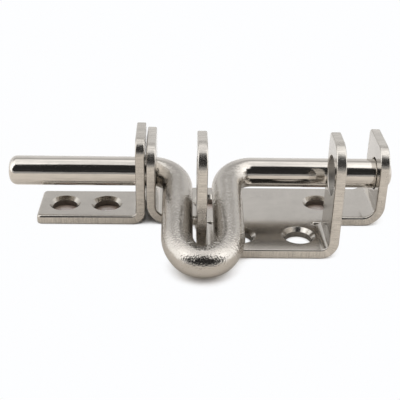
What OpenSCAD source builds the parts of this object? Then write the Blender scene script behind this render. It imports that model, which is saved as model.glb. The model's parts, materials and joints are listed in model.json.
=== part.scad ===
// Toggle bolt latch: a bent round bolt in a bent sheet bracket, and the keeper that takes its nose.
//
// X runs along the bolt with the nose at -X, Y runs back with the handle at -Y, Z runs up.
// The origin is on the mounting face, straight under the bolt's axis, at the middle of the
// bracket's length. Millimetres throughout.

/* [Bolt] */
// Diameter of the round rod
rod_d = 9.5; // [8.5:0.25:10.5]
// Radius of the rod's centre line in the two shoulder bends
shoulder_r = 8.5; // [8.25:0.25:9.5]
// Distance from the bolt's axis to the centre line at the foot of the handle
handle_reach = 41.4; // [40.5:0.1:46]
// Centre-line radius where a leg starts to turn into the foot
flank_r = 13.5; // [12:0.5:16]
// Centre-line radius at the foot of the handle
foot_r = 6.4; // [6.1:0.1:7]
// Length of nose that stands out of the bracket
nose_out = 44.3; // [40:0.1:50]
// Length of tail that stands out of the bracket
tail_out = 2.3; // [2:0.1:6]
// Rounding of the nose's and the tail's edges
end_round = 2.4; // [1:0.1:3.5]

/* [Fits] */
// Radial clearance of the bolt in the ears of the bracket and the keeper
rod_clear = 0.5; // [0.4:0.05:0.7]
// Depth to which the first shoulder bend reaches into the bracket's ear
shoulder_in = 1.6; // [0.5:0.1:1.6]
// Distance by which the closed handle sits past the middle of the first tab, toward the tail
handle_play = 0.5; // [0:0.1:1]
// Gap between the resting handle and the front edge of the apron
rest_gap = 0.3; // [0.2:0.05:1]
// Gap between the keeper's ear and the bracket's ear
keeper_gap = 0.4; // [0.3:0.1:4]

/* [Sheet] */
// Thickness of the sheet
sheet_t = 3; // [2.5:0.1:3.5]
// Height of the bolt's axis above the mounting face
axis_z = 14.9; // [14:0.1:17]
// Radius of the back corner at the top of every ear and tab
back_corner_r = 2; // [1:0.25:3]

/* [Bracket] */
// Length of the bracket over its two ears
bracket_len = 77; // [74:1:90]
// Width of the strip and of its ears
strip_w = 20.8; // [20:0.2:22]
// Distance from the bolt's axis back to the middle of the strip, where its holes are
strip_mid_y = 1.6; // [0.8:0.1:1.8]
// Height of the ears
ear_h = 26.1; // [25.8:0.1:30]
// Radius of the front corner at the top of an ear
ear_corner_r = 7; // [5:0.5:8]
// Inside radius of the bends under the ears
ear_bend_r = 4; // [2.5:0.5:5]
// Distance from the bolt's axis to the front edge of the apron
apron_reach = 29.2; // [28.5:0.1:30]

/* [Padlock tabs] */
// Distance between the two tabs, which is also the bolt's stroke
tab_pitch = 40.2; // [38:0.2:44]
// Width of a tab
tab_w = 16; // [15:0.5:17]
// Width of the slit that frees a tab from the plate behind it
tab_slit = 1; // [0.8:0.1:1.5]
// Height of a tab
tab_h = 35.8; // [34.4:0.1:38]
// Radius of the front corner at the top of a tab
tab_corner_r = 8; // [6:0.5:8]
// Inside radius of the bends under the tabs
tab_bend_r = 2.5; // [1.5:0.25:2.5]
// Diameter of the padlock holes
padlock_d = 12; // [9:0.5:12.5]
// Height of the padlock holes
padlock_z = 24.4; // [24:0.2:27]

/* [Screw holes] */
// Diameter of the screw holes
hole_d = 8; // [5:0.25:8.5]
// Width of the 45 degree bevel round each screw hole
hole_bevel = 1.2; // [0.4:0.1:1.3]
// Distance between the two holes in the apron
apron_hole_pitch = 18.6; // [15:0.2:19]
// Distance from the bolt's axis to the holes in the apron
apron_hole_reach = 20; // [18:0.2:22]
// Distance between the two holes in the strip
strip_hole_pitch = 36.8; // [30:0.2:40]

/* [Keeper] */
// Length of the keeper
keeper_len = 35; // [33:0.5:45]
// Width of the keeper
keeper_w = 18; // [16.5:0.5:20]
// Height of the keeper's ear
keeper_h = 28.9; // [25.8:0.1:32]
// Radius of the front corner at the top of the keeper's ear
keeper_top_r = 5; // [3:0.5:7]
// Inside radius of the keeper's bend
keeper_bend_r = 1.5; // [1:0.25:3]
// Radius of the two free corners of the keeper's plate
keeper_corner_r = 1.5; // [0.5:0.25:4]
// Distance between the keeper's two holes
keeper_hole_pitch = 13.8; // [12:0.2:15]
// Distance from the keeper's free end to the first hole
keeper_hole_end = 8.2; // [7:0.2:9]

/* [Hidden] */
$fn = 96;
steel = "silver";
rod_steel = "lightgray";

// Overshoot of cutters past the faces that they cut
over = 1;
rod_r = rod_d / 2;
ear_hole_r = rod_r + rod_clear;

// Bracket: its two outer faces and the inner face of the ear beside the handle
left_x = -bracket_len / 2;
right_x = bracket_len / 2;
ear_inner_x = left_x + sheet_t;

// Handle outline in its own plane: u runs along X from the handle's middle, s runs away from
// the axis. A quarter turn at the shoulder, a straight leg, a wide flank arc and half of the
// foot's arc make one side. Flank and foot meet on a radius that falls 3 in 4, so its sine is
// 0.6 and its cosine 0.8, and every joint in the outline comes out as a short decimal.
flank_run = 4;
flank_fall = 3;
flank_cos = 0.8;
flank_sin = 0.6;
arc_step_r = flank_r - foot_r;
leg_u = flank_r - arc_step_r * flank_cos;
foot_s = handle_reach - foot_r;
leg_end_s = foot_s - arc_step_r * flank_sin;
shoulder_u = leg_u + shoulder_r;

// The first shoulder bend starts inside the ear's hole, and the handle straddles the first tab
handle_x = ear_inner_x - shoulder_in + shoulder_u;
first_tab_x = handle_x - handle_play;
tab_x = [first_tab_x, first_tab_x + tab_pitch];
nose_x = left_x - nose_out;
tail_x = right_x + tail_out;

// Angle below the horizontal at which the leg lies just over the apron's front edge
edge_drop = axis_z - sheet_t;
edge_dist = norm([apron_reach, edge_drop]);
rest_angle = acos((rod_r + rest_gap) / edge_dist) - atan2(apron_reach, edge_drop);

// Keeper
keeper_right_x = left_x - keeper_gap;
keeper_left_x = keeper_right_x - keeper_len;
keeper_hole_x = keeper_left_x + keeper_hole_end;

// ---------- rod ----------

// Straight rod along +X from the origin
module rod_x(length) {
    rotate([90, 0, 90]) cylinder(r = rod_r, h = length);
}

// Straight rod along +X from the origin whose far end has a rounded edge
module rod_end_x(length) {
    rotate([90, 0, 90]) rotate_extrude() {
        square([rod_r, length - end_round]);
        square([rod_r - end_round, length]);
        translate([rod_r - end_round, length - end_round]) intersection() {
            circle(r = end_round);
            square(end_round);
        }
    }
}

// Bent rod in the XY plane round the origin, from start_a through turn degrees
module rod_bend(r, start_a, turn) {
    rotate([0, 0, start_a]) rotate_extrude(angle = turn) translate([r, 0]) circle(r = rod_r);
}

// Wedge in the XY plane that opens downward between the two radii where flank and foot meet
module foot_wedge() {
    reach = flank_r + rod_d;
    translate([0, 0, -rod_d])
        linear_extrude(2 * rod_d)
            polygon([
                [0, 0],
                [-reach * flank_run, -reach * flank_fall],
                [reach * flank_run, -reach * flank_fall]
            ]);
}

// One side of the handle, at -u, in the XY plane with s along -Y
module handle_side() {
    translate([-shoulder_u, -shoulder_r]) rod_bend(shoulder_r, 0, 90);
    translate([-leg_u, -shoulder_r])
        rotate([0, 0, -90])
            rod_x(leg_end_s - shoulder_r);
    translate([flank_r - leg_u, -leg_end_s]) difference() {
        rod_bend(flank_r, 180, 90);
        foot_wedge();
    }
}

module handle() {
    handle_side();
    mirror([1, 0, 0]) handle_side();
    translate([0, -foot_s]) intersection() {
        rod_bend(foot_r, 180, 180);
        foot_wedge();
    }
}

// The whole bent rod is drawn flat and then turned down until the handle rests
module bolt() {
    color(rod_steel)
        translate([handle_x, 0, axis_z])
            rotate([rest_angle, 0, 0]) {
                handle();
                translate([shoulder_u, 0, 0]) rod_end_x(tail_x - handle_x - shoulder_u);
                mirror([1, 0, 0])
                    translate([shoulder_u, 0, 0])
                        rod_end_x(handle_x - nose_x - shoulder_u);
            }
}

// ---------- sheet ----------

// Quarter of a bend in the XZ view: the sheet turns from +X at the bottom to +Z at the right.
// The corner of the outer faces is at the origin.
module bend_profile(inner_r) {
    outer_r = inner_r + sheet_t;
    translate([-outer_r, outer_r]) intersection() {
        difference() {
            circle(r = outer_r);
            circle(r = inner_r);
        }
        translate([0, -outer_r]) square(outer_r);
    }
}

// Sheet that runs from +X into a standing wall, in the XZ view. Its outer corner is at the origin.
module angle_profile(foot, height, inner_r) {
    outer_r = inner_r + sheet_t;
    bend_profile(inner_r);
    translate([-foot, 0]) square([foot - outer_r, sheet_t]);
    translate([-sheet_t, outer_r]) square([sheet_t, height - outer_r]);
}

// Side view of a standing wall, drawn in XY with its front at -X and its foot's middle at 0. The
// front corner of its top is well rounded, and the back corner is only blunted.
module wall_view(width, height, corner_r) {
    front = corner_r - width / 2;
    back = width / 2 - back_corner_r;
    translate([-width / 2, 0]) square([width, height - corner_r]);
    translate([front, 0]) square([width - corner_r, height - back_corner_r]);
    translate([front, 0]) square([back - front, height]);
    translate([front, height - corner_r]) circle(r = corner_r);
    translate([back, height - back_corner_r]) circle(r = back_corner_r);
}

// Bent sheet from an XZ view that lies in XY, spread over the given width about y_mid
module along_y(width, y_mid) {
    translate([0, y_mid + width / 2, 0]) rotate([90, 0, 0]) linear_extrude(width) children();
}

// A foot and a standing wall with a rounded front corner. The wall's outer face is at X = 0.
module standing_wall(foot, width, height, corner_r, inner_r, y_mid) {
    intersection() {
        along_y(width, y_mid) angle_profile(foot, height, inner_r);
        translate([-foot - over, y_mid, 0])
            rotate([90, 0, 90])
                linear_extrude(foot + 2 * over)
                    wall_view(width, height, corner_r);
    }
}

// Cutter along X through one thickness of sheet whose outer face is at X = 0
module wall_hole(r, y, z) {
    translate([-sheet_t - over, y, z])
        rotate([0, 90, 0])
            cylinder(r = r, h = sheet_t + 2 * over);
}

// Cutter for a bevelled screw hole through the plate
module screw_hole(x, y) {
    translate([x, y, -over]) cylinder(d = hole_d, h = sheet_t + 2 * over);
    translate([x, y, sheet_t - hole_bevel])
        cylinder(r1 = hole_d / 2, r2 = hole_d / 2 + hole_bevel, h = hole_bevel);
    translate([x, y, sheet_t]) cylinder(r = hole_d / 2 + hole_bevel, h = over);
}

// One bolt ear with half of the strip, outer face at X = 0
module ear() {
    difference() {
        standing_wall(bracket_len / 2, strip_w, ear_h, ear_corner_r, ear_bend_r, strip_mid_y);
        wall_hole(ear_hole_r, 0, axis_z);
    }
}

// One padlock tab with half of the apron, outer face at X = 0
module padlock_tab() {
    tab_mid_y = tab_w / 2 - apron_reach;
    difference() {
        standing_wall(tab_pitch / 2 + sheet_t / 2, tab_w, tab_h, tab_corner_r, tab_bend_r, tab_mid_y);
        wall_hole(padlock_d / 2, tab_mid_y, padlock_z);
    }
}

// Flat web that joins the apron to the strip. Past a narrow slit it runs on behind each tab.
module web() {
    inset = tab_bend_r + sheet_t / 2;
    behind_reach = apron_reach - tab_w - tab_slit;
    translate([tab_x[0] + inset, -apron_reach, 0])
        cube([tab_pitch - 2 * inset, apron_reach, sheet_t]);
    translate([tab_x[0] - sheet_t / 2, -behind_reach, 0])
        cube([tab_pitch + sheet_t, behind_reach, sheet_t]);
}

module bracket() {
    color(steel) difference() {
        union() {
            translate([right_x, 0, 0]) ear();
            mirror([1, 0, 0]) translate([right_x, 0, 0]) ear();
            translate([tab_x[1] + sheet_t / 2, 0, 0]) padlock_tab();
            translate([tab_x[0] - sheet_t / 2, 0, 0]) mirror([1, 0, 0]) padlock_tab();
            web();
        }
        for (side = [-1, 1]) {
            screw_hole(side * apron_hole_pitch / 2, -apron_hole_reach);
            screw_hole(side * strip_hole_pitch / 2, strip_mid_y);
        }
    }
}

// Blank of the keeper's plate with its two free corners rounded, as a cutter along Z
module keeper_plan() {
    corner_y = keeper_w / 2 - keeper_corner_r;
    translate([keeper_left_x + keeper_corner_r, -keeper_w / 2])
        square([keeper_len - keeper_corner_r, keeper_w]);
    translate([keeper_left_x, -corner_y]) square([keeper_len, 2 * corner_y]);
    for (side = [-1, 1])
        translate([keeper_left_x + keeper_corner_r, side * corner_y]) circle(r = keeper_corner_r);
}

module keeper() {
    color(steel) difference() {
        intersection() {
            translate([keeper_right_x, 0, 0])
                standing_wall(keeper_len, keeper_w, keeper_h, keeper_top_r, keeper_bend_r, 0);
            linear_extrude(keeper_h + over) keeper_plan();
        }
        translate([keeper_right_x, 0, 0]) wall_hole(ear_hole_r, 0, axis_z);
        screw_hole(keeper_hole_x, 0);
        screw_hole(keeper_hole_x + keeper_hole_pitch, 0);
    }
}

bracket();
bolt();
keeper();
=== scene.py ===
import json
from math import acos, atan2, ceil, cos, pi, radians, sin, tan

import bmesh
import bpy
from mathutils import Matrix, Vector


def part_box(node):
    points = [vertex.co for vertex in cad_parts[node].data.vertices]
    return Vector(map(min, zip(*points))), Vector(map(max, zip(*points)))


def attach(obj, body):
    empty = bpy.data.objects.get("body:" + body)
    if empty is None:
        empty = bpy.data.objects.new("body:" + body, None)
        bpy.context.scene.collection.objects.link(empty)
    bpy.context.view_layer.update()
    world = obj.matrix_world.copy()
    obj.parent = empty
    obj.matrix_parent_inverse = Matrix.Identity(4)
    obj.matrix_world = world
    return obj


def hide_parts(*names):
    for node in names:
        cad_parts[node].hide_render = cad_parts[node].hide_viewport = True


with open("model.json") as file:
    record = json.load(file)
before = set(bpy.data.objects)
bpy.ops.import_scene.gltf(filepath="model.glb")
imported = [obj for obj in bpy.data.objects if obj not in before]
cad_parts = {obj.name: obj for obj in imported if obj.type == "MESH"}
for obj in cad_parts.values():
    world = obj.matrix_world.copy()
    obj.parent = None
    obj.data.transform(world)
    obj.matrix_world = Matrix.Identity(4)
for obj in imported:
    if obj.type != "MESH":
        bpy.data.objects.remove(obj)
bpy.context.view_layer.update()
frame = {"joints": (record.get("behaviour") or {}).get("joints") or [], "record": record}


# ---------- bracket ----------
# One blank of 3 mm stainless sheet: a strip whose two bored ears carry the bolt, and beside it an
# apron whose two taller tabs take the padlock. It is punched and sheared flat, bent in a press and
# then tumbled, which blunts the cut edges and rounds every corner.

mm = 0.001
mounts = {m["name"]: m for m in frame["record"]["mounts"]}
joints = {j["name"]: j for j in frame["joints"]}
left_tab, right_tab = mounts["left_tab_padlock"], mounts["right_tab_padlock"]
bracket_low, bracket_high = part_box("bracket")

sheet_t = left_tab["dims"]["length_mm"] * mm
axis_z = joints["bolt_turn"]["pos_m"][2]
rod_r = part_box("bolt")[1].z - axis_z
rod_clear = 0.5 * mm
ear_hole_r = rod_r + rod_clear

# The shears draw the plates' upper edges over. Elsewhere the tumbling has only worn the corners.
plate_roll = 0.95 * mm
wall_roll = 0.45 * mm
rim_round = 0.4 * mm
hole_round = 0.4 * mm

# How finely the edges are made, and how near two points are to count as one
corner_facet = 0.45 * mm
edge_steps = 5
same_place = 0.01 * mm


def rounded_outline(corners):
    """Points and outward normals of an outline, anticlockwise, from (s, y, radius) corners.

    On a flat blank s is the place along it, which is x before any bend, and y the place across it.
    """
    rim = []
    for i, (s, y, radius) in enumerate(corners):
        here = Vector((s, y))
        before = here - Vector(corners[i - 1][:2])
        after = Vector(corners[(i + 1) % len(corners)][:2]) - here
        start, end = atan2(before.y, before.x), atan2(after.y, after.x)
        turn = (end - start + pi) % (2 * pi) - pi
        side = 1 if turn > 0 else -1
        centre = here - before.normalized() * radius * tan(abs(turn) / 2)
        centre += side * radius * Vector((-sin(start), cos(start)))
        steps = max(3, ceil(abs(turn) * radius / corner_facet))
        for k in range(steps + 1):
            a = start + turn * k / steps - pi / 2
            out = Vector((cos(a), sin(a)))
            rim.append((centre + side * radius * out, out))
    return [p for i, p in enumerate(rim) if (p[0] - rim[i - 1][0]).length > same_place]


def round_hole(s, y, radius, steps=64):
    """Points and normals of a hole's wall. The normals point into the hole, away from the metal."""
    rim = []
    for k in range(steps):
        out = Vector((cos(2 * pi * k / steps), sin(2 * pi * k / steps)))
        rim.append((Vector((s, y)) + radius * out, -out))
    return rim


def arc_profile(centre_in, centre_h, start_deg, end_deg, radius):
    """Part of an edge's section: (depth into the metal, height) along an arc."""
    points = []
    for k in range(edge_steps + 1):
        a = radians(start_deg + (end_deg - start_deg) * k / edge_steps)
        points.append((centre_in - radius * cos(a), centre_h + radius * sin(a)))
    return points


def edge_section(roll, worn):
    """Section of a cut edge, from the top face over its rolled corner down to its worn corner."""
    top = arc_profile(roll, sheet_t - roll, 90, 0, roll)
    return top + arc_profile(worn, worn, 0, -90, worn)


def bevelled_section(bevel, worn):
    """Section of a hole's edge with a 45 degree bevel at the top, its two corners worn round."""
    # An arc between a level face and a 45 degree slope touches each this far from their corner
    reach = worn * tan(radians(45 / 2))
    top = arc_profile(bevel + reach, sheet_t - worn, 90, 45, worn)
    middle = arc_profile(worn, sheet_t - bevel - reach, 45, 0, worn)
    return top + middle + arc_profile(worn, worn, 0, -90, worn)


def sheet_blank(name, outline, roll_at, holes, bend_lines):
    """A flat blank with finished edges, cut across at each bend line so that it can be bent there.

    The outline's upper corner is rolled over by as much as roll_at gives for each point.
    """
    # What lies no deeper than wall_depth belongs to the flat wall of the cut
    wall_depth, cut_within = 0.05 * mm, 0.0001 * mm
    bm = bmesh.new()
    uv = bm.loops.layers.uv.new("Blank")
    cut = bm.verts.layers.float.new("cut_edge")
    worn = bm.verts.layers.float.new("corner")
    punched = bm.verts.layers.float.new("hole_wall")
    top_edges, bottom_edges, walls = [], [], {}
    for rim, section in [(outline, None)] + holes:
        sections = [section or edge_section(roll_at(point), rim_round) for point, _ in rim]
        section = sections[0]
        rings = []
        for k in range(len(section)):
            ring = []
            for (point, out), its_section in zip(rim, sections):
                at = point - out * its_section[k][0]
                ring.append(bm.verts.new((at.x, at.y, its_section[k][1])))
            rings.append(ring)
        for k, ring in enumerate(rings):
            face_side = k in (0, len(rings) - 1)
            on_wall = section[k][0] < wall_depth
            for v in ring:
                v[cut] = 0 if face_side else 1
                v[worn] = 0 if face_side or on_wall else 1
                v[punched] = 1 if on_wall and rim is not outline else 0
        length = 0
        for i in range(len(rim)):
            step = (rim[i][0] - rim[i - 1][0]).length
            for upper, lower, (_, high), (_, low) in zip(rings, rings[1:], section, section[1:]):
                face = bm.faces.new((upper[i - 1], lower[i - 1], lower[i], upper[i]))
                walls[face] = [(length, high), (length, low),
                               (length + step, low), (length + step, high)]
            length += step
        for ring, edges in ((rings[0], top_edges), (rings[-1], bottom_edges)):
            for i in range(len(ring)):
                edges.append(bm.edges.get((ring[i - 1], ring[i])))
    for face, corners in walls.items():
        for loop, corner in zip(face.loops, corners):
            loop[uv].uv = corner
    for edges, up in ((top_edges, 1), (bottom_edges, -1)):
        filled = bmesh.ops.triangle_fill(bm, edges=edges, use_beauty=True, normal=(0, 0, up))
        for face in filled["geom"]:
            if isinstance(face, bmesh.types.BMFace):
                for loop in face.loops:
                    loop[uv].uv = loop.vert.co.xy
    bmesh.ops.recalc_face_normals(bm, faces=bm.faces)
    for s in bend_lines:
        everything = bm.verts[:] + bm.edges[:] + bm.faces[:]
        bmesh.ops.bisect_plane(bm, geom=everything, plane_co=(s, 0, 0), plane_no=(1, 0, 0),
                               dist=cut_within)
    mesh = bpy.data.meshes.new(name)
    bm.to_mesh(mesh)
    bm.free()
    mesh.shade_smooth()
    return mesh


def bend_length(inner_r):
    """Length of blank that a right-angle bend takes up, along the middle of the sheet."""
    return (inner_r + sheet_t / 2) * pi / 2


def bend_cuts(start, side, inner_r, steps=12):
    """Places along the blank where it is cut across, from one end of a bend to the other."""
    return [start + side * bend_length(inner_r) * k / steps for k in range(steps + 1)]


def bend_up(point, start, side, inner_r):
    """Where a point of the flat blank goes once the blank is bent up past start, towards side."""
    past = (point.x - start) * side
    if past <= 0:
        return point
    r = inner_r + sheet_t - point.z
    a = min(past / bend_length(inner_r), 1) * pi / 2
    rise = max(past - bend_length(inner_r), 0)
    return Vector((start + side * r * sin(a), point.y, inner_r + sheet_t - r * cos(a) + rise))


def roll_past(past):
    """How far the upper corner is rolled over, from the plate through the bend to the wall."""
    return plate_roll + (wall_roll - plate_roll) * min(max(past, 0), 1)


def wall_s(start, side, inner_r, z):
    """Place along the blank of a point at height z on the wall that stands beyond a bend."""
    return start + side * (bend_length(inner_r) + z - inner_r - sheet_t)


strip_back_y = bracket_high.y
strip_front_y = 2 * mounts["strip_screws"]["pos_m"][1] - strip_back_y
ear_h = 26.1 * mm
ear_corner_r = 7 * mm
ear_bend_r = 4 * mm
apron_y = bracket_low.y
padlock_y, padlock_z = left_tab["pos_m"][1:]
padlock_r = left_tab["dims"]["r_mm"] * mm
tab_w = 2 * (padlock_y - apron_y)
tab_back_y = apron_y + tab_w
tab_h = bracket_high.z
tab_corner_r = 8 * mm
tab_bend_r = 2.5 * mm
back_corner_r = 2 * mm
screw_bevel = 1.2 * mm
bevel_round = 0.2 * mm
# Behind each tab the plate runs on flat, past the narrow slit that frees the tab's bend
tab_slit = 1 * mm
slit_y = tab_back_y + tab_slit
slit_end_r = 0.45 * mm
behind_corner_r = 1 * mm

# Left and right: where the flat ends and the bends start, where the blank ends, and the tabs' faces
sides = (-1, 1)
tab_middles = [tab["pos_m"][0] for tab in (left_tab, right_tab)]
ear_starts = (bracket_low.x + ear_bend_r + sheet_t, bracket_high.x - ear_bend_r - sheet_t)
tab_starts = [x - side * (tab_bend_r + sheet_t / 2) for x, side in zip(tab_middles, sides)]
ear_ends = [wall_s(x, side, ear_bend_r, ear_h) for x, side in zip(ear_starts, sides)]
tab_ends = [wall_s(x, side, tab_bend_r, tab_h) for x, side in zip(tab_starts, sides)]
tab_faces = [x + side * sheet_t / 2 for x, side in zip(tab_middles, sides)]
left_half, right_half = [[
    (tab_ends[i], apron_y, tab_corner_r),
    (tab_ends[i], tab_back_y, back_corner_r),
    (tab_starts[i], tab_back_y, slit_end_r),
    (tab_starts[i], slit_y, slit_end_r),
    (tab_faces[i], slit_y, behind_corner_r),
    (tab_faces[i], strip_front_y, behind_corner_r),
    (ear_ends[i], strip_front_y, ear_corner_r),
    (ear_ends[i], strip_back_y, back_corner_r),
] for i in range(2)]
bracket_outline = rounded_outline(left_half[:1] + right_half + left_half[:0:-1])


def screw_holes(mount):
    """The bevelled holes of a line of screws, at the places that the mount gives."""
    x, y, _ = mount["pos_m"]
    half = mount["dims"]["spacing_x_mm"] * mm / 2
    radius = mount["dims"]["hole_r_mm"] * mm
    section = bevelled_section(screw_bevel, bevel_round)
    return [(round_hole(x + side * half, y, radius), section) for side in sides]


bored_section = edge_section(hole_round, hole_round)
bracket_holes = screw_holes(mounts["apron_screws"]) + screw_holes(mounts["strip_screws"])
for x, side in zip(ear_starts, sides):
    bar_hole = round_hole(wall_s(x, side, ear_bend_r, axis_z), 0, ear_hole_r)
    bracket_holes.append((bar_hole, bored_section))
for x, side in zip(tab_starts, sides):
    padlock_hole = round_hole(wall_s(x, side, tab_bend_r, padlock_z), padlock_y, padlock_r)
    bracket_holes.append((padlock_hole, bored_section))

bracket_bends = []
for side, ear_start, tab_start in zip(sides, ear_starts, tab_starts):
    bracket_bends += bend_cuts(ear_start, side, ear_bend_r) + bend_cuts(tab_start, side, tab_bend_r)


def bracket_bend(point):
    """Start, side and inside radius of the bend that is nearest to a point of the blank."""
    on_strip = point.y > (tab_back_y + slit_y) / 2
    side = 1 if point.x > 0 else -1
    starts = ear_starts if on_strip else tab_starts
    return starts[(side + 1) // 2], side, ear_bend_r if on_strip else tab_bend_r


def bracket_roll(point):
    """How far the upper corner is rolled over at a point of the bracket's outline."""
    start, side, inner_r = bracket_bend(point)
    return roll_past((point.x - start) * side / bend_length(inner_r))


bracket_mesh = sheet_blank("bracket", bracket_outline, bracket_roll, bracket_holes, bracket_bends)
for v in bracket_mesh.vertices:
    v.co = bend_up(v.co.copy(), *bracket_bend(v.co))


def new_group(name, inputs, outputs):
    """A shader group with (name, type, default) inputs and (name, type) outputs."""
    group = bpy.data.node_groups.new(name, "ShaderNodeTree")
    for label, kind, value in inputs:
        socket = group.interface.new_socket(label, in_out="INPUT", socket_type=kind)
        if value is not None:
            socket.default_value = value
    for label, kind in outputs:
        group.interface.new_socket(label, in_out="OUTPUT", socket_type=kind)
    given = group.nodes.new("NodeGroupInput").outputs
    return group, given, group.nodes.new("NodeGroupOutput").inputs


def add(tree, kind, values=None, **settings):
    """A node with its settings and the values or links of its inputs, by name or by number."""
    node = tree.nodes.new(kind)
    for label, value in settings.items():
        setattr(node, label, value)
    for label, value in (values or {}).items():
        if isinstance(value, bpy.types.NodeSocket):
            tree.links.new(value, node.inputs[label])
        else:
            node.inputs[label].default_value = value
    return node


def math_node(tree, operation, a, b=0.0, c=0.0):
    """The result of a Math node."""
    return add(tree, "ShaderNodeMath", {0: a, 1: b, 2: c}, operation=operation).outputs[0]


def noise(tree, place, scale, detail, roughness):
    """The strength of a noise at a place."""
    return add(tree, "ShaderNodeTexNoise", {
        "Vector": place, "Scale": scale, "Detail": detail, "Roughness": roughness,
    }).outputs["Fac"]


def mixed_colour(tree, factor, a, b, blend="MIX"):
    """The result of a Mix node for colours. Its sockets go by number, as their names repeat."""
    return add(tree, "ShaderNodeMix", {0: factor, 6: a, 7: b}, data_type="RGBA",
               blend_type=blend).outputs[2]


def tumbled_skin_group():
    """Orange-peel, fine pits and scuffs that tumbling in stones leaves on steel."""
    group, given, result = new_group(
        "tumbled skin",
        [
            ("Place", "NodeSocketVector", None),
            ("Peel per metre", "NodeSocketFloat", 900.0),
            ("Pits per metre", "NodeSocketFloat", 2600.0),
            ("Base roughness", "NodeSocketFloat", 0.12),
            ("Roughness spread", "NodeSocketFloat", 0.06),
            ("Darkening", "NodeSocketFloat", 0.08),
        ],
        [(label, "NodeSocketFloat") for label in ("Roughness", "Tone", "Height")],
    )
    pit_roughness, pit_shade, pit_height = 0.12, 0.6, -0.5
    scuffs_per_m, scuff_middle, scuff_shade = 160.0, 0.5, 0.8
    peel = noise(group, given["Place"], given["Peel per metre"], detail=2.0, roughness=0.5)
    pits = noise(group, given["Place"], given["Pits per metre"], detail=3.0, roughness=0.65)
    scuffs = noise(group, given["Place"], scuffs_per_m, detail=3.0, roughness=0.6)
    pitted = add(group, "ShaderNodeMapRange", {
        "Value": pits, "From Min": 0.60, "From Max": 0.74, "To Min": 0.0, "To Max": 1.0,
    }, clamp=True).outputs["Result"]
    uneven = math_node(group, "SUBTRACT", scuffs, scuff_middle)
    rough = math_node(group, "MULTIPLY_ADD", uneven, given["Roughness spread"],
                      given["Base roughness"])
    rough = math_node(group, "MULTIPLY_ADD", pitted, pit_roughness, rough)
    shade = math_node(group, "MULTIPLY", scuffs, scuff_shade)
    shade = math_node(group, "MULTIPLY_ADD", pitted, pit_shade, shade)
    shade = math_node(group, "MULTIPLY", shade, given["Darkening"])
    tone = math_node(group, "SUBTRACT", 1.0, shade)
    height = math_node(group, "MULTIPLY_ADD", pitted, pit_height, peel)
    for label, value in (("Roughness", rough), ("Tone", tone), ("Height", height)):
        group.links.new(value, result[label])
    return group


tumbled_skin = tumbled_skin_group()


def new_steel(name):
    """A bare metal: the material, its tree, its shader and the place on the piece."""
    material = bpy.data.materials.new(name)
    material.use_nodes = True
    tree = material.node_tree
    shader = tree.nodes["Principled BSDF"]
    shader.inputs["Metallic"].default_value = 1.0
    return material, tree, shader, add(tree, "ShaderNodeTexCoord").outputs["Object"]


def dress_steel(tree, shader, colour, tone, rough, height, relief):
    """Gives a steel's shader its colour times the tone, its roughness and its relief."""
    base = mixed_colour(tree, 1.0, (*colour, 1.0), tone, "MULTIPLY")
    bump = add(tree, "ShaderNodeBump", {
        "Strength": relief, "Distance": 0.02 * mm, "Height": height,
    })
    tree.links.new(base, shader.inputs["Base Color"])
    tree.links.new(rough, shader.inputs["Roughness"])
    tree.links.new(bump.outputs["Normal"], shader.inputs["Normal"])


def sheet_steel_material(name, colour, face_roughness=0.17, cut_roughness=0.26):
    """Stainless sheet: smooth rolled faces, and cut edges with the streaks the shears leave."""
    material, tree, shader, place = new_steel(name)
    blank = add(tree, "ShaderNodeUVMap", uv_map="Blank").outputs["UV"]
    cut = add(tree, "ShaderNodeAttribute", attribute_name="cut_edge").outputs["Fac"]
    worn = add(tree, "ShaderNodeAttribute", attribute_name="corner").outputs["Fac"]
    punched = add(tree, "ShaderNodeAttribute", attribute_name="hole_wall").outputs["Fac"]
    skin = add(tree, "ShaderNodeGroup", {
        "Place": place, "Peel per metre": 420.0, "Pits per metre": 1900.0,
        "Base roughness": face_roughness, "Roughness spread": 0.12, "Darkening": 0.25,
    }, node_tree=tumbled_skin).outputs
    streaks_per_m = (2600.0, 260.0, 1.0)
    streak_place = add(tree, "ShaderNodeMapping", {"Vector": blank, "Scale": streaks_per_m})
    streaks = noise(tree, streak_place.outputs["Vector"], 1.0, detail=3.0, roughness=0.6)
    on_cut = math_node(tree, "MULTIPLY", cut, math_node(tree, "SUBTRACT", 1.0, worn))
    # The tumbling has brightened the cut edges, all but their streaks, and can't reach into holes,
    # whose walls stay rougher. The hole walls' colour is also darkened, which is painted shade
    # inside the holes.
    cut_gain, streak_tone, streak_height = 0.66, -1.0, 1.4
    hole_roughness, hole_painted_shade = 0.25, -0.5
    rough = math_node(tree, "MULTIPLY_ADD", on_cut, cut_roughness - face_roughness,
                      skin["Roughness"])
    rough = math_node(tree, "MULTIPLY_ADD", punched, hole_roughness, rough)
    edge_tone = math_node(tree, "MULTIPLY_ADD", streaks, streak_tone, cut_gain)
    tone = math_node(tree, "MULTIPLY_ADD", on_cut, edge_tone, skin["Tone"])
    # Painted shade in the holes: the hole walls' colour is darkened by half
    tone = math_node(tree, "MULTIPLY", tone,
                     math_node(tree, "MULTIPLY_ADD", punched, hole_painted_shade, 1.0))
    height = math_node(tree, "MULTIPLY", on_cut, streaks)
    height = math_node(tree, "MULTIPLY_ADD", height, streak_height, skin["Height"])
    dress_steel(tree, shader, colour, tone, rough, height, relief=0.35)
    return material


def hang_piece(mesh, body, node, material):
    """Puts a finished mesh in the scene, on its body and in place of its solid."""
    piece = bpy.data.objects.new(node + "_finished", mesh)
    bpy.context.scene.collection.objects.link(piece)
    mesh.materials.clear()
    mesh.materials.append(material)
    # Keeps the flats flat: each face counts by its area in the normals at its corners
    settle = piece.modifiers.new("Flat faces", "WEIGHTED_NORMAL")
    settle.mode = "FACE_AREA"
    settle.keep_sharp = True
    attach(piece, body)
    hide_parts(node)


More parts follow.
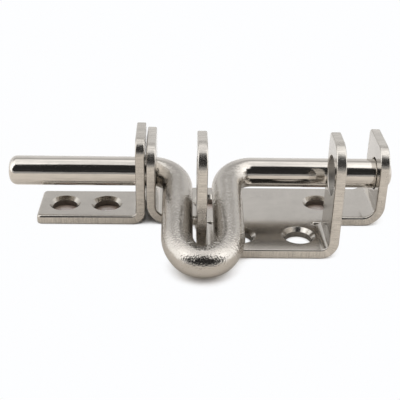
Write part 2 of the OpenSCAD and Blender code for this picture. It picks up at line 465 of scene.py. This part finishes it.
bracket_steel = sheet_steel_material("bracket steel", (0.54, 0.51, 0.47))
hang_piece(bracket_mesh, "bracket", "bracket", bracket_steel)


# ---------- keeper ----------
# The catch on the frame: a short angle of the same sheet. Its ear takes the bolt's nose and its
# plate has two bevelled screw holes. The plate's free corners are knocked round.

keeper_low, keeper_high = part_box("keeper")
keeper_bend_r = 1.5 * mm
keeper_corner_r = 1.5 * mm
keeper_top_r = 5 * mm
keeper_start = keeper_high.x - keeper_bend_r - sheet_t
keeper_end = wall_s(keeper_start, 1, keeper_bend_r, keeper_high.z)
keeper_outline = rounded_outline([
    (keeper_low.x, keeper_low.y, keeper_corner_r),
    (keeper_end, keeper_low.y, keeper_top_r),
    (keeper_end, keeper_high.y, back_corner_r),
    (keeper_low.x, keeper_high.y, keeper_corner_r),
])
nose_hole = round_hole(wall_s(keeper_start, 1, keeper_bend_r, axis_z), 0, ear_hole_r)
keeper_mesh = sheet_blank(
    "keeper",
    keeper_outline,
    lambda point: roll_past((point.x - keeper_start) / bend_length(keeper_bend_r)),
    screw_holes(mounts["keeper_screws"]) + [(nose_hole, bored_section)],
    bend_cuts(keeper_start, 1, keeper_bend_r),
)
for v in keeper_mesh.vertices:
    v.co = bend_up(v.co.copy(), keeper_start, 1, keeper_bend_r)
keeper_steel = sheet_steel_material("keeper steel", (0.50, 0.47, 0.43))
hang_piece(keeper_mesh, "keeper", "keeper", keeper_steel)


# ---------- bolt ----------
# A length of 9.5 mm round bar, turned round at both ends and bent cold into a handle whose loop
# drops over the padlock tabs. It was polished before it was bent, and the bends are a bit duller,
# their colour a little darkened as painted shade.

bolt_low, bolt_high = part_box("bolt")
shoulder_r = 8.5 * mm
handle_reach = 41.4 * mm
flank_r = 13.5 * mm
foot_r = 6.4 * mm
shoulder_in = 1.6 * mm
bar_end_round = 2.4 * mm
rest_gap = 0.3 * mm

# Flank and foot arcs meet on a radius that falls 3 in 4
meet_sin, meet_cos = 0.6, 0.8
leg_u = flank_r - (flank_r - foot_r) * meet_cos
handle_x = bracket_low.x + sheet_t - shoulder_in + leg_u + shoulder_r
flank_turn = atan2(meet_sin, meet_cos)
flank_centre_s = handle_reach - foot_r - (flank_r - foot_r) * meet_sin
flank_corner_s = flank_centre_s + flank_r * tan(flank_turn / 2)
foot_corner_s = flank_corner_s + leg_u * meet_cos / meet_sin

# At rest the handle lies on the apron's front edge, and the gap is left between them
edge_drop = axis_z - sheet_t
edge_dist = (apron_y ** 2 + edge_drop ** 2) ** 0.5
rest_angle = acos((rod_r + rest_gap) / edge_dist) - atan2(-apron_y, edge_drop)


def bar_end(x, inward, steps=8):
    """Stations along a rounded end of the bar, from the tip in: (x, share of the bar's radius)."""
    stations = []
    for k in range(steps + 1):
        a = pi / 2 * k / steps
        along = bar_end_round * (1 - cos(a))
        stations.append((x + inward * along, 1 - bar_end_round / rod_r * (1 - sin(a))))
    return stations


# The bar's centre line: (x, distance out along the handle, bend radius, share of the bar's radius)
bar_line = [(x, 0, 0, share) for x, share in bar_end(bolt_low.x, 1)]
bar_line += [
    (handle_x - leg_u, 0, shoulder_r, 1),
    (handle_x - leg_u, flank_corner_s, flank_r, 1),
    (handle_x, foot_corner_s, foot_r, 1),
    (handle_x + leg_u, flank_corner_s, flank_r, 1),
    (handle_x + leg_u, 0, shoulder_r, 1),
]
bar_line += [(x, 0, 0, share) for x, share in reversed(bar_end(bolt_high.x, -1))]


def bent_bar_tree():
    """Rounds the corners of a centre line and runs a bar along it."""
    tree = bpy.data.node_groups.new("bent bar", "GeometryNodeTree")
    for label, kind, way in (
        ("Geometry", "NodeSocketGeometry", "INPUT"),
        ("Bar radius", "NodeSocketFloat", "INPUT"),
        ("Facets in a bend", "NodeSocketInt", "INPUT"),
        ("Facets round the bar", "NodeSocketInt", "INPUT"),
        ("Fully bent at", "NodeSocketFloat", "INPUT"),
        ("Weld within", "NodeSocketFloat", "INPUT"),
        ("Steel", "NodeSocketMaterial", "INPUT"),
        ("Geometry", "NodeSocketGeometry", "OUTPUT"),
    ):
        tree.interface.new_socket(label, in_out=way, socket_type=kind)
    given = tree.nodes.new("NodeGroupInput").outputs
    bend = add(tree, "GeometryNodeInputNamedAttribute", {"Name": "bend_radius"}, data_type="FLOAT")
    share = add(tree, "GeometryNodeInputNamedAttribute", {"Name": "bar_share"}, data_type="FLOAT")
    line = add(tree, "GeometryNodeMeshToCurve", {"Mesh": given["Geometry"]})
    bent = add(tree, "GeometryNodeFilletCurve", {
        "Curve": line.outputs["Curve"], "Count": given["Facets in a bend"],
        "Radius": bend.outputs["Attribute"], "Limit Radius": False,
    }, mode="POLY")
    place = add(tree, "GeometryNodeInputPosition").outputs["Position"]
    bent_share = add(tree, "ShaderNodeMapRange", {
        "Value": add(tree, "ShaderNodeSeparateXYZ", {"Vector": place}).outputs["Y"],
        "From Min": 0.0, "From Max": given["Fully bent at"],
    }).outputs["Result"]
    marked = add(tree, "GeometryNodeStoreNamedAttribute", {
        "Geometry": bent.outputs["Curve"], "Name": "bent", "Value": bent_share,
    }, data_type="FLOAT", domain="POINT")
    section = add(tree, "GeometryNodeCurvePrimitiveCircle", {
        "Resolution": given["Facets round the bar"], "Radius": given["Bar radius"],
    })
    bar = add(tree, "GeometryNodeCurveToMesh", {
        "Curve": marked.outputs["Geometry"], "Profile Curve": section.outputs["Curve"],
        "Scale": share.outputs["Attribute"], "Fill Caps": True,
    })
    # Where one bend runs straight into the next, each ends in a ring of its own at the same place
    welded = add(tree, "GeometryNodeMergeByDistance", {
        "Geometry": bar.outputs["Mesh"], "Distance": given["Weld within"],
    })
    real = add(tree, "GeometryNodeRealizeInstances", {"Geometry": welded.outputs["Geometry"]})
    steel = add(tree, "GeometryNodeSetMaterial", {
        "Geometry": real.outputs["Geometry"], "Material": given["Steel"],
    })
    result = tree.nodes.new("NodeGroupOutput")
    tree.links.new(steel.outputs["Geometry"], result.inputs["Geometry"])
    return tree


def made_with(tree, mesh, values):
    """The plain mesh that a Geometry Nodes tree makes from a mesh, with its named inputs set."""
    carrier = bpy.data.objects.new("carrier", mesh)
    bpy.context.scene.collection.objects.link(carrier)
    modifier = carrier.modifiers.new("Make", "NODES")
    modifier.node_group = tree
    for socket in tree.interface.items_tree:
        if socket.in_out == "INPUT" and socket.name in values:
            modifier[socket.identifier] = values[socket.name]
    depsgraph = bpy.context.evaluated_depsgraph_get()
    made = bpy.data.meshes.new_from_object(carrier.evaluated_get(depsgraph))
    bpy.data.objects.remove(carrier)
    return made


def bar_steel_material(name, colour):
    """Drawn and polished bar: a mirror where straight, and dulled by orange peel where bent, with
    painted shade on the bends.
    """
    material, tree, shader, place = new_steel(name)
    bent = add(tree, "ShaderNodeAttribute", attribute_name="bent").outputs["Fac"]
    straight = math_node(tree, "SUBTRACT", 1.0, bent)
    skin = add(tree, "ShaderNodeGroup", {
        "Place": place, "Peel per metre": 1500.0, "Pits per metre": 1700.0,
        "Base roughness": 0.10, "Roughness spread": 0.06, "Darkening": 0.24,
    }, node_tree=tumbled_skin).outputs
    # Fine lines that the polishing leaves along the bar, and that the bending has broken up
    lines_per_m = (120.0, 2400.0, 2400.0)
    line_place = add(tree, "ShaderNodeMapping", {"Vector": place, "Scale": lines_per_m})
    lines = noise(tree, line_place.outputs["Vector"], 1.0, detail=3.0, roughness=0.65)
    drawn = math_node(tree, "MULTIPLY", straight, lines)
    line_tone, line_height = -0.5, 0.9
    straight_tone, straight_height = 0.37, 0.25
    # Painted shade: the bends' colour is a little darker, standing in for the darker light that
    # they mirror
    bent_painted_shade, bent_roughness, bent_height = -0.08, 0.06, 15.0
    tone = math_node(tree, "MULTIPLY_ADD", drawn, line_tone, skin["Tone"])
    tone = math_node(tree, "MULTIPLY_ADD", straight, straight_tone, tone)
    tone = math_node(tree, "MULTIPLY_ADD", bent, bent_painted_shade, tone)
    rough = math_node(tree, "MULTIPLY_ADD", bent, bent_roughness, skin["Roughness"])
    depth = math_node(tree, "MULTIPLY_ADD", bent, bent_height, straight_height)
    height = math_node(tree, "MULTIPLY", depth, skin["Height"])
    height = math_node(tree, "MULTIPLY_ADD", drawn, line_height, height)
    dress_steel(tree, shader, colour, tone, rough, height, relief=0.4)
    return material


bolt_steel = bar_steel_material("bolt steel", (0.60, 0.565, 0.52))
line_mesh = bpy.data.meshes.new("bar line")
turn_down = Matrix.Rotation(rest_angle, 3, "X")
axis_place = Vector((0, 0, axis_z))
line_points = [turn_down @ Vector((x, -out, 0)) + axis_place for x, out, _, _ in bar_line]
line_mesh.from_pydata(line_points, [(i, i + 1) for i in range(len(line_points) - 1)], [])
for label, column in (("bend_radius", 2), ("bar_share", 3)):
    values = line_mesh.attributes.new(label, "FLOAT", "POINT")
    values.data.foreach_set("value", [corner[column] for corner in bar_line])
bolt_mesh = made_with(bent_bar_tree(), line_mesh, {
    "Bar radius": rod_r, "Facets in a bend": 28, "Facets round the bar": 64,
    "Fully bent at": -2.5 * mm, "Weld within": same_place, "Steel": bolt_steel,
})
bolt_mesh.shade_smooth()
hang_piece(bolt_mesh, "bolt", "bolt", bolt_steel)


# ---------- floor ----------
# The latch lies on matt white paper, whose colour is painted a little darker and warmer in front,
# towards the dark room, as painted shade. The eye sees the open paper as good as white, and what
# steel shuts in as the shade that it is in, with a dark painted shade colour on the paper under the
# plates.

floor_half = 1.5
floor_z = -0.02 * mm
floor_corners = [(x * floor_half, y * floor_half, floor_z)
                 for x, y in ((-1, -1), (1, -1), (1, 1), (-1, 1))]
floor_mesh = bpy.data.meshes.new("table")
floor_mesh.from_pydata(floor_corners, [], [(0, 1, 2, 3)])
floor = bpy.data.objects.new("table", floor_mesh)
bpy.context.scene.collection.objects.link(floor)
white_paper = bpy.data.materials.new("white paper")
white_paper.use_nodes = True
paper = white_paper.node_tree
paper_shader = paper.nodes["Principled BSDF"]
paper_shader.inputs["Roughness"].default_value = 0.9
paper_shader.inputs["Specular IOR Level"].default_value = 0.0
floor_place = add(paper, "ShaderNodeTexCoord").outputs["Object"]
on_floor = add(paper, "ShaderNodeSeparateXYZ", {"Vector": floor_place}).outputs


def rising(tree, value, start, end):
    """0 below start and 1 above end, with an even and soft step between the two."""
    return add(tree, "ShaderNodeMapRange", {
        "Value": value, "From Min": start, "From Max": end,
    }, interpolation_type="SMOOTHSTEP").outputs["Result"]


def inside(tree, value, low, high, soft):
    """1 between low and high, and 0 outside them, past edges as wide as soft."""
    over_low = rising(tree, value, low - soft / 2, low + soft / 2)
    over_high = rising(tree, value, high - soft / 2, high + soft / 2)
    return math_node(tree, "SUBTRACT", over_low, over_high)


def on_paper(x_low, x_high, y_low, y_high, inset=1 * mm):
    """1 on a rectangle of the paper and 0 round it."""
    across = inside(paper, on_floor["X"], x_low + inset, x_high - inset, inset)
    along = inside(paper, on_floor["Y"], y_low + inset, y_high - inset, inset)
    return math_node(paper, "MULTIPLY", across, along)


# Painted shade: the paper in front is coloured darker and warmer, and the paper under the plates is
# coloured dark brown
near_paper_painted_shade = (0.87, 0.82, 0.76, 1)
far_paper = (0.97, 0.96, 0.95, 1)
painted_shade_in_holes = (0.55, 0.44, 0.38, 1)
eye_white = (0.985, 0.99, 1.0, 1)
# How open the sky is over each place of the paper, from 0 to 1
sky_share = add(paper, "ShaderNodeAmbientOcclusion", {"Distance": 6 * mm}, samples=8).outputs["AO"]
in_open = rising(paper, sky_share, 0.20, 0.62)
shut_in = math_node(paper, "SUBTRACT", 1.0, rising(paper, sky_share, 0.80, 0.95))
# Painted shade: the paper under the keeper and the strip, which shows through their screw holes, is
# coloured dark brown where the steel shuts it in
under_keeper = on_paper(keeper_low.x, keeper_start, keeper_low.y, keeper_high.y)
under_strip = on_paper(*ear_starts, strip_front_y, strip_back_y)
painted_hole_shade = math_node(paper, "MAXIMUM", under_keeper, under_strip)
painted_hole_shade = math_node(paper, "MULTIPLY", painted_hole_shade, shut_in)
far_share = rising(paper, on_floor["Y"], -20 * mm, 60 * mm)
paper_colour = mixed_colour(paper, far_share, near_paper_painted_shade, far_paper)
paper_colour = mixed_colour(paper, painted_hole_shade, paper_colour, painted_shade_in_holes)
paper.links.new(paper_colour, paper_shader.inputs["Base Color"])
in_open = math_node(paper, "MULTIPLY", in_open, math_node(paper, "SUBTRACT", 1.0, painted_hole_shade))
by_eye = add(paper, "ShaderNodeLightPath").outputs["Is Camera Ray"]
seen_share = math_node(paper, "MULTIPLY", by_eye, in_open)
glow = add(paper, "ShaderNodeEmission", {"Color": eye_white, "Strength": 1.0})
paper_look = add(paper, "ShaderNodeMixShader", {
    0: seen_share, 1: paper_shader.outputs["BSDF"], 2: glow.outputs[0],
})
paper.links.new(paper_look.outputs[0], paper.nodes["Material Output"].inputs["Surface"])
floor_mesh.materials.append(white_paper)


# ---------- tent ----------
# A soft white tent stands over the floor and is all the light there is. It is open towards the
# camera, where the room is dark, and that opening is the dark band that the polished steel shows.

world = bpy.data.worlds.new("tent")
bpy.context.scene.world = world
world.use_nodes = True
sky = world.node_tree
toward = add(sky, "ShaderNodeTexCoord").outputs["Generated"]
parts = add(sky, "ShaderNodeSeparateXYZ", {"Vector": toward}).outputs
# Degrees above the horizon, and degrees to either side of straight ahead
climb = math_node(sky, "DEGREES", math_node(sky, "ARCSINE", parts["Z"]))
swing = math_node(sky, "ARCTAN2", parts["X"], math_node(sky, "MULTIPLY", parts["Y"], -1.0))
swing = math_node(sky, "DEGREES", math_node(sky, "ABSOLUTE", swing))
# An edge below every swing, for a patch that runs right across the middle
across = -60


def patch(swing_edges, climb_edges):
    """1 on a patch of the tent and 0 round it, from its edges as (low, high, soft) in degrees."""
    return math_node(sky, "MULTIPLY", inside(sky, swing, *swing_edges),
                     inside(sky, climb, *climb_edges))


# The walls are brightest at the sides and weaker behind, with a seam. Over the opening they hang
# forward as two bright flaps, and the roof is bright all along its rim.
wall_level, side_gain, flap_gain, seam_loss = 0.88, 0.87, 0.9, -0.30
rim_level, rim_gain, roof_level = 1.35, 0.35, 1.12
side_walls = inside(sky, swing, 48, 114, 44)
flaps = patch((across, 70, 30), (28, 60, 8))
seam = math_node(sky, "MULTIPLY", rising(sky, swing, 110, 130), inside(sky, climb, 40, 60, 10))
walls = math_node(sky, "MULTIPLY_ADD", side_walls, side_gain, wall_level)
walls = math_node(sky, "MULTIPLY_ADD", flaps, flap_gain, walls)
walls = math_node(sky, "MULTIPLY_ADD", seam, seam_loss, walls)
rim = inside(sky, climb, 58, 79, 8)
rim_sides = inside(sky, swing, 23, 130, 22)
rim_light = math_node(sky, "MULTIPLY_ADD", rim_sides, rim_gain, rim_level)
tent = math_node(sky, "MAXIMUM", walls, math_node(sky, "MULTIPLY", rim, rim_light))
roof = rising(sky, climb, 76, 84)
to_roof_level = math_node(sky, "SUBTRACT", roof_level, tent)
tent = math_node(sky, "ADD", tent, math_node(sky, "MULTIPLY", roof, to_roof_level))

# The opening: wide and low, with a tall narrow slot over its middle, and half closed at the ground
ground_share, room_level = 0.55, 0.03
wide = patch((across, 60, 14), (11, 30, 6))
middle = patch((across, 54, 12), (26, 54, 6))
tall = patch((across, 30, 8), (26, 74, 6))
ground = math_node(sky, "MULTIPLY", patch((across, 60, 14), (-90, 11, 6)), ground_share)
opening = wide
for part in (middle, tall, ground):
    opening = math_node(sky, "MAXIMUM", opening, part)
level = math_node(sky, "MULTIPLY", tent, math_node(sky, "SUBTRACT", 1.0, opening))
level = math_node(sky, "ADD", level, room_level)
# The eye sees plain white past the floor's edge
by_eye = add(sky, "ShaderNodeLightPath").outputs["Is Camera Ray"]
sky.links.new(mixed_colour(sky, by_eye, level, (1, 1, 1, 1)),
              sky.nodes["Background"].inputs["Color"])


# ---------- camera ----------
# It looks down on the latch from the front, a little to the left of the bracket's middle, and
# leans a little to one side.

yaw, dip, roll = radians(1.67), radians(28.1), radians(1.28)
distance = 284 * mm
target = Vector((-21.1 * mm, 0, 4.42 * mm))
sight = Vector((sin(yaw) * cos(dip), cos(yaw) * cos(dip), -sin(dip)))
level_right = Vector((cos(yaw), -sin(yaw), 0))
level_up = level_right.cross(sight)
right = cos(roll) * level_right + sin(roll) * level_up
up = cos(roll) * level_up - sin(roll) * level_right
facing = Matrix((right, up, -sight)).transposed().to_4x4()
camera = bpy.data.objects.new("camera", bpy.data.cameras.new("camera"))
bpy.context.scene.collection.objects.link(camera)
camera.matrix_world = Matrix.Translation(target - distance * sight) @ facing
camera.data.sensor_width = 36
camera.data.lens = 77.1
camera.data.clip_start = 10 * mm
bpy.context.scene.camera = camera
bpy.context.scene.view_settings.view_transform = "Standard"
